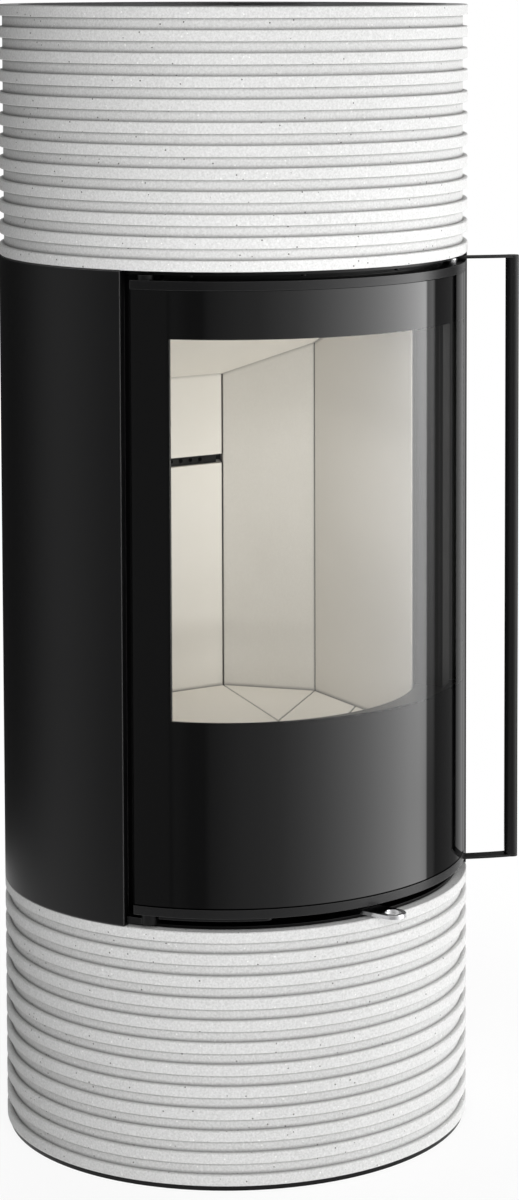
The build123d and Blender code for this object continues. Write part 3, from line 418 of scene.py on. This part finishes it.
def makePaint(name, kind):
    # stove paint: fine grain in the gloss, thin lighter edges for wear and, on the casing, a
    # painted highlight; painted shade in the gaps
    look = {**paint, **kind}
    material, tree, shader = startMaterial(name, Specular_IOR_Level=look["specular"])
    # lighter edges: wear, and on the casing a painted highlight
    edgeMask = useGroup(tree, edges, Width=look["edgeWidth"], Sharpness=look["edgeSharpness"])
    tinted = mixColours(tree, edgeMask, look["colour"], look["edgeWearAndHighlight"])
    # painted shade in the gaps, from the occlusion mask
    paintedShadeMask = useGroup(tree, cavity, **look["gapShade"])
    shaded = addShade(tree, tinted, paintedShadeMask, look["gapShadeTone"])
    join(tree, shaded, shader, "Result", "Base Color")
    fine = useGroup(tree, grain, Size=look["grainSize"])
    roughness, spread = look["roughness"], look["spread"]
    addGloss(tree, shader, fine, roughness - spread, roughness + spread)
    rounded = addNode(tree, "ShaderNodeBevel", {"samples": 8}, Radius=look["edgeRound"])
    bump = addBump(tree, fine, look["grainBump"])
    join(tree, rounded, bump, "Normal", "Normal")
    join(tree, bump, shader, "Normal", "Normal")
    return material


steel = {
    "colour": (0.60, 0.60, 0.61),
    "darkShare": 0.82,
    "smooth": 0.091,
    "rough": 0.169,
    "lineScale": (60.0, 60.0, 900.0),
    "lineBump": (0.08, 0.0002),
    "blotches": {"Size": 30.0, "Contrast": 1.2},
}


def makeSteel():
    # bare steel with fine turning lines
    material, tree, shader = startMaterial("turned steel", Metallic=1.0)
    stretch = addTexture(tree, "ShaderNodeMapping", Scale=steel["lineScale"])
    lines = addNode(tree, "ShaderNodeTexNoise", Scale=1.0, Detail=3.0)
    join(tree, stretch, lines, "Vector", "Vector")
    addGloss(tree, shader, lines, steel["smooth"], steel["rough"], "Fac")
    blotch = useGroup(tree, cloud, **steel["blotches"])
    darker = tuple(steel["darkShare"] * part for part in steel["colour"])
    tinted = mixColours(tree, blotch, darker, steel["colour"])
    join(tree, tinted, shader, "Result", "Base Color")
    join(tree, addBump(tree, lines, steel["lineBump"], "Fac"), shader, "Normal", "Normal")
    return material


galvanised = {
    "dark": (0.30, 0.305, 0.31),
    "light": (0.40, 0.405, 0.41),
    "spangleScale": 90.0,
    "smooth": 0.32,
    "rough": 0.5,
}


def makeGalvanised():
    # zinc spangles, each with its own tone and gloss
    material, tree, shader = startMaterial("galvanised sheet", Metallic=1.0)
    spangle = addTexture(tree, "ShaderNodeTexVoronoi", Scale=galvanised["spangleScale"])
    tone = addNode(tree, "ShaderNodeSeparateColor")
    join(tree, spangle, tone, "Color")
    tinted = mixColours(tree, tone, galvanised["dark"], galvanised["light"], 0)
    join(tree, tinted, shader, "Result", "Base Color")
    addGloss(tree, shader, tone, galvanised["smooth"], galvanised["rough"], 0)
    return material


castIron = {
    "dark": (0.035, 0.034, 0.033),
    "light": (0.075, 0.072, 0.068),
    "grainSize": 380.0,
    "grainBump": (0.5, 0.0006),
    "roughness": 0.68,
}


def makeCastIron():
    material, tree, shader = startMaterial("cast iron", Roughness=castIron["roughness"])
    rough = useGroup(tree, grain, Size=castIron["grainSize"])
    tinted = mixColours(tree, rough, castIron["dark"], castIron["light"])
    join(tree, tinted, shader, "Result", "Base Color")
    join(tree, addBump(tree, rough, castIron["grainBump"]), shader, "Normal", "Normal")
    return material


rope = {
    "dark": (0.02, 0.02, 0.021),
    "light": (0.09, 0.09, 0.092),
    "strandTurn": (0.6, 0.7, 0.5),
    "strands": {"Scale": 260.0, "Distortion": 2.5, "Detail": 2.0},
    "strandBump": (0.7, 0.0008),
    "roughness": 0.9,
}


def makeRope():
    # glass fibre rope: short slanted strands
    material, tree, shader = startMaterial("glass fibre rope", Roughness=rope["roughness"])
    turned = addTexture(tree, "ShaderNodeMapping", Rotation=rope["strandTurn"])
    strands = addNode(tree, "ShaderNodeTexWave", **rope["strands"])
    join(tree, turned, strands, "Vector", "Vector")
    tinted = mixColours(tree, strands, rope["dark"], rope["light"], "Fac")
    join(tree, tinted, shader, "Result", "Base Color")
    join(tree, addBump(tree, strands, rope["strandBump"], "Fac"), shader, "Normal", "Normal")
    return material


# the finish of each material slot, and of the nodes that differ from their slot
slotFinishes = {
    "concrete": "pale concrete",
    "firebrick": "vermiculite brick",
    "cast_grate": "cast iron",
    "black_steel": "satin stove paint",
    "inner_steel": "matt stove paint",
    "galvanised": "galvanised sheet",
    "bright_steel": "turned steel",
    "rope_seal": "glass fibre rope",
}
nodeFinishes = {
    "top_plate": "lid paint",
    "side_casing": "casing paint",
    "door_rail_top": "rail paint",
    "door_rail_bottom": "rail paint",
    "handle_bar": "handle paint",
    "header_screws": "satin stove paint",
    # painted light on the baffle, painted shade on the side and diagonal linings
    "baffle_plate": "vermiculite brick with painted light",
    "diagonal_lining_left": "vermiculite brick with deeper painted shade",
    "diagonal_lining_right": "vermiculite brick with deeper painted shade",
    "side_lining_left": "vermiculite brick with painted shade",
    "side_lining_right": "vermiculite brick with painted shade",
}


def dressNodes():
    finishes = [makeConcrete(), makeCastIron(), makeGalvanised(), makeSteel(), makeRope()]
    finishes += [makeBrick(name, share) for name, share in brick["kinds"].items()]
    finishes += [makePaint(name, kind) for name, kind in paint["kinds"].items()]
    byName = {finish.name: finish for finish in finishes}
    for part in frame["record"]["subparts"]:
        name = nodeFinishes.get(part["node"]) or slotFinishes.get(part["material_slot"])
        # the floor bricks get painted light
        if part["node"].startswith("floor_brick"):
            name = "vermiculite brick with painted light"
        if name:
            mesh = frame["nodes"][part["node"]].data
            mesh.materials.clear()
            mesh.materials.append(byName[name])


dressNodes()
print("finishes on the packed nodes")

# door glass: one curved pane, clear in the window and printed black round it
pane = {
    "thickness": 0.004,
    "windowHalfAngle": 46.8,
    "windowLow": 0.4581,
    "windowHigh": 0.8266,
    "stepAngle": 1.3,
    "sharpAngle": 30,
    "ior": 1.5,
    "printColour": (0.0015, 0.0015, 0.0016),
    "printBlotches": {"Size": 5.0, "Contrast": 1.0},
    "printSmooth": 0.01,
    "printRough": 0.04,
    "clearTint": (0.97, 0.97, 0.96),
}


def makeGlassPrint():
    material, tree, shader = startMaterial("black glass border", IOR=pane["ior"],
                                           Base_Color=(*pane["printColour"], 1))
    blotch = useGroup(tree, cloud, **pane["printBlotches"])
    addGloss(tree, shader, blotch, pane["printSmooth"], pane["printRough"])
    return material


def makeClearGlass():
    # thin pane: the face towards the eye mirrors, the rest passes straight through
    material, tree = emptyMaterial("clear ceramic glass")
    through = addNode(tree, "ShaderNodeBsdfTransparent", Color=(*pane["clearTint"], 1))
    mirror = addNode(tree, "ShaderNodeBsdfGlossy", Roughness=0.0, Color=(1, 1, 1, 1))
    slant = addNode(tree, "ShaderNodeFresnel", IOR=pane["ior"])
    side = addNode(tree, "ShaderNodeNewGeometry")
    facing = addMath(tree, "SUBTRACT", 1.0, (side, "Backfacing"))
    share = addMath(tree, "MULTIPLY", slant, facing)
    mix = addNode(tree, "ShaderNodeMixShader")
    join(tree, share, mix)
    join(tree, through, mix, 0, 1)
    join(tree, mirror, mix, 0, 2)
    join(tree, mix, tree.nodes.new("ShaderNodeOutputMaterial"))
    return material


def makePane():
    low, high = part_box("door_glass")
    outer = abs(low[1])
    inner = outer - pane["thickness"]
    halfAngle = math.degrees(math.asin(high[0] / outer))
    count = round(2 * halfAngle / pane["stepAngle"])
    window = pane["windowHalfAngle"]
    steps = [-halfAngle + 2 * halfAngle * step / count for step in range(count + 1)]
    angles = sorted({-window, window, *steps})
    levels = [low[2], pane["windowLow"], pane["windowHigh"], high[2]]
    form = bmesh.new()
    front, back = ([[form.verts.new(place(radius, angle, level)) for angle in angles]
                    for level in levels] for radius in (outer, inner))
    last, top = len(angles) - 1, len(levels) - 1
    for grid, sign in ((front, 1), (back, -1)):
        for row in range(top):
            lower, upper = grid[row], grid[row + 1]
            for step in range(last):
                corners = [lower[step], lower[step + 1], upper[step + 1], upper[step]]
                face = form.faces.new(corners[::sign])
                middle = (angles[step] + angles[step + 1]) / 2
                face.material_index = int(row == 1 and abs(middle) < window)  # 1 is clear glass
    for step in range(last):  # lower and upper edge
        beside = step + 1
        form.faces.new([back[0][step], back[0][beside], front[0][beside], front[0][step]])
        form.faces.new([front[top][step], front[top][beside], back[top][beside], back[top][step]])
    for row in range(top):  # left and right edge
        above = row + 1
        form.faces.new([back[row][0], front[row][0], front[above][0], back[above][0]])
        form.faces.new([front[row][last], back[row][last], back[above][last], front[above][last]])
    for face in form.faces:
        face.smooth = True
    mesh = meshFrom(form, "door_pane")
    mesh.set_sharp_from_angle(angle=math.radians(pane["sharpAngle"]))
    mesh.materials.append(makeGlassPrint())
    mesh.materials.append(makeClearGlass())
    piece = addPiece("door_pane", mesh)
    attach(piece, "door")
    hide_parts("door_glass")


makePane()
print("door glass built")


def seenWhite(tree):
    # 1 where the camera, a reflection or glass looks at it
    path = addNode(tree, "ShaderNodeLightPath")
    first = addMath(tree, "MAXIMUM", (path, "Is Camera Ray"), (path, "Is Glossy Ray"))
    return addMath(tree, "MAXIMUM", first, (path, "Is Transmission Ray"))


studioWorld = {"ambient": 0.13}


def makeWorld():
    # white to look at, but only a little light on the stove
    world = bpy.data.worlds.new("studio world")
    bpy.context.scene.world = world
    world.use_nodes = True
    tree = world.node_tree
    tree.nodes.clear()
    level = addNode(tree, "ShaderNodeMapRange", To_Min=studioWorld["ambient"], To_Max=1.0)
    join(tree, seenWhite(tree), level, 0, "Value")
    background = addNode(tree, "ShaderNodeBackground", Color=(1, 1, 1, 1))
    join(tree, level, background, "Result", "Strength")
    join(tree, background, tree.nodes.new("ShaderNodeOutputWorld"))


studioFloor = {
    "half": 6.0,
    "grey": 0.82,
    "bounce": 0.22,  # extra light that the floor sends up to the stove
    "shadowShare": 0.13,  # how much of the real shadow shows near the stove
    "shadowFrom": 0.30,  # it fades from this distance to the next
    "shadowTo": 0.95,
}


def makeFloor():
    half, grey = studioFloor["half"], studioFloor["grey"]
    mesh = bpy.data.meshes.new("studio_floor")
    corners = [(-half, -half, 0), (half, -half, 0), (half, half, 0), (-half, half, 0)]
    mesh.from_pydata(corners, [], [(0, 1, 2, 3)])
    material, tree = emptyMaterial("studio floor")
    matt = addNode(tree, "ShaderNodeBsdfDiffuse", Color=(grey, grey, grey, 1))
    bounce = addNode(tree, "ShaderNodeEmission", Strength=studioFloor["bounce"])
    lit = addNode(tree, "ShaderNodeAddShader")
    join(tree, matt, lit)
    join(tree, bounce, lit, 0, 1)
    coords = addNode(tree, "ShaderNodeTexCoord")
    away = addMath(tree, "LENGTH", (coords, "Object"), kind="ShaderNodeVectorMath")
    share = addNode(tree, "ShaderNodeMapRange", {"interpolation_type": "SMOOTHSTEP"},
                    From_Min=studioFloor["shadowFrom"], From_Max=studioFloor["shadowTo"],
                    To_Min=1.0 - studioFloor["shadowShare"], To_Max=1.0)
    join(tree, away, share, "Value", "Value")
    factor = addMath(tree, "MULTIPLY", (share, "Result"), seenWhite(tree))
    glow = addNode(tree, "ShaderNodeEmission", Strength=1.0)
    mix = addNode(tree, "ShaderNodeMixShader")
    join(tree, factor, mix)
    join(tree, lit, mix, 0, 1)
    join(tree, glow, mix, 0, 2)
    join(tree, mix, tree.nodes.new("ShaderNodeOutputMaterial"))
    mesh.materials.append(material)
    floor = addPiece("studio_floor", mesh)


lightWall = {
    "radius": 1.02,
    "height": 1.7,
    "sides": 120,
    "peak": 5.2,
    "low": 0.14,  # the low tones hold up to here, the high ones from the next height on
    "high": 0.75,
    # azimuth, share of the peak high up, share low down
    "tones": [
        (-150, 0.005, 0.005), (-136, 0.022, 0.022), (-128, 0.065, 0.065), (-115, 0.136, 0.136),
        (-102, 0.129, 0.129), (-91, 0.083, 0.083), (-82, 0.060, 0.060), (-76, 0.031, 0.031),
        (-56, 0.031, 0.029), (-51, 0.021, 0.021), (-45, 0.021, 0.021), (-42, 0.042, 0.040),
        (-29, 0.075, 0.075), (-21, 0.088, 0.088), (-12, 0.131, 0.110), (-3.5, 0.177, 0.156),
        (5.5, 0.263, 0.217), (15, 0.375, 0.304), (25, 0.50, 0.40), (35.5, 0.663, 0.517),
        (47, 0.846, 0.61), (54, 0.942, 0.633), (61, 1.0, 0.577), (66, 1.0, 0.44),
        (67.2, 0.23, 0.08), (72.5, 0.25, 0.054), (74, 0.027, 0.022), (98, 0.03, 0.03),
        (107, 0.077, 0.077), (114, 0.10, 0.10), (121, 0.05, 0.05), (135, 0.005, 0.005),
    ],
}


def addToneRamp(tree, turn, column):
    # the wall's tones round the stove, from one column of the table
    ramp = addNode(tree, "ShaderNodeValToRGB")
    stops = ramp.color_ramp.elements
    while len(stops) < len(lightWall["tones"]):
        stops.new(0.5)
    for stop, row in zip(stops, lightWall["tones"]):
        stop.position = (row[0] + 180) / 360
        stop.color = (row[column], row[column], row[column], 1)
    join(tree, turn, ramp, "Result", "Fac")
    return ramp


def makeLightWall():
    # round wall of light, brightest on the right, that only reflections see
    sides = lightWall["sides"]
    form = bmesh.new()
    low, high = ([form.verts.new(place(lightWall["radius"], 360 * step / sides, level))
                  for step in range(sides)] for level in (0.0, lightWall["height"]))
    for step in range(sides):
        following = (step + 1) % sides
        form.faces.new([low[following], low[step], high[step], high[following]])
    mesh = meshFrom(form, "light_wall")
    material, tree = emptyMaterial("light wall")
    coords = addNode(tree, "ShaderNodeTexCoord")
    parts = addNode(tree, "ShaderNodeSeparateXYZ")
    join(tree, coords, parts, "Object")
    forward = addMath(tree, "MULTIPLY", (parts, "Y"), -1.0)
    azimuth = addMath(tree, "ARCTAN2", (parts, "X"), forward)
    turn = addNode(tree, "ShaderNodeMapRange", From_Min=-math.pi, From_Max=math.pi)
    join(tree, azimuth, turn, 0, "Value")
    rise = addNode(tree, "ShaderNodeMapRange",
                   From_Min=lightWall["low"], From_Max=lightWall["high"])
    join(tree, parts, rise, "Z", "Value")
    level = addMix(tree)
    join(tree, rise, level, "Result", "Factor")
    join(tree, addToneRamp(tree, turn, 2), level, "Color", "A")
    join(tree, addToneRamp(tree, turn, 1), level, "Color", "B")
    glow = addNode(tree, "ShaderNodeEmission", Strength=lightWall["peak"])
    join(tree, level, glow, "Result", "Color")
    join(tree, glow, tree.nodes.new("ShaderNodeOutputMaterial"))
    mesh.materials.append(material)
    wall = addPiece("light_wall", mesh)
    wall.visible_camera = False
    wall.visible_diffuse = False
    wall.visible_transmission = False
    wall.visible_shadow = False


def aimAt(piece, height):
    aim = Vector((0, 0, height)) - piece.location
    piece.rotation_euler = aim.to_track_quat("-Z", "Y").to_euler()


# no lamp shows in reflections, the light wall takes their place there
softboxes = {
    "front softbox": {
        "azimuth": -20, "elevation": 14, "distance": 2.6, "size": (1.6, 1.2), "power": 40,
    },
    "right softbox": {
        "azimuth": 76, "elevation": -2, "distance": 2.4, "size": (1.4, 1.6), "power": 45,
    },
    "back softbox": {
        "azimuth": 160, "elevation": 20, "distance": 2.8, "size": (1.6, 1.2), "power": 30,
    },
}


def addSoftbox(name, box):
    lamp = bpy.data.lights.new(name, "AREA")
    lamp.shape = "RECTANGLE"
    lamp.size, lamp.size_y = box["size"]
    lamp.energy = box["power"]
    piece = addPiece(name, lamp)
    piece.visible_glossy = False
    middle = (cadBox[0][2] + cadBox[1][2]) / 2
    rise = math.radians(box["elevation"])
    piece.location = place(box["distance"] * math.cos(rise), box["azimuth"],
                           middle + box["distance"] * math.sin(rise))
    aimAt(piece, middle)


windowSpot = {
    "azimuth": 0,
    "distance": 2.6,
    "height": 0.42,
    "aimHeight": 0.71,
    "cone": 13.0,
    "blend": 0.6,
    "softness": 0.12,
    "power": 78,
}


def addWindowSpot():
    # lights the firebox through the window
    lamp = bpy.data.lights.new("window spot", "SPOT")
    lamp.energy = windowSpot["power"]
    lamp.spot_size = math.radians(windowSpot["cone"])
    lamp.spot_blend = windowSpot["blend"]
    lamp.shadow_soft_size = windowSpot["softness"]
    piece = addPiece("window spot", lamp)
    piece.visible_glossy = False
    piece.location = place(windowSpot["distance"], windowSpot["azimuth"], windowSpot["height"])
    aimAt(piece, windowSpot["aimHeight"])


fireboxLamp = {"location": (0, -0.03, 0.72), "size": 0.10, "power": 0.08}


def addFireboxLamp():
    # evens out the light on the firebox floor, itself never seen
    lamp = bpy.data.lights.new("firebox lamp", "AREA")
    lamp.size = fireboxLamp["size"]
    lamp.energy = fireboxLamp["power"]
    piece = addPiece("firebox lamp", lamp)
    piece.visible_camera = False
    piece.visible_glossy = False
    piece.location = fireboxLamp["location"]


cameraView = {
    "location": (-1.6873, -2.7864, 1.1761),
    "tilt": 85.372,
    "turn": -34.074,
    "lens": 96.42,
    "shift": (-0.113, -0.309),
}


def makeCamera():
    data = bpy.data.cameras.new("camera")
    data.lens = cameraView["lens"]
    data.shift_x, data.shift_y = cameraView["shift"]
    camera = addPiece("camera", data)
    camera.location = cameraView["location"]
    camera.rotation_euler = (math.radians(cameraView["tilt"]), 0, math.radians(cameraView["turn"]))
    bpy.context.scene.camera = camera


# studio: white floor and world, a wall of light, soft lamps, camera
makeWorld()
makeFloor()
makeLightWall()
for boxName, softbox in softboxes.items():
    addSoftbox(boxName, softbox)
addWindowSpot()
addFireboxLamp()
makeCamera()
print("studio set")
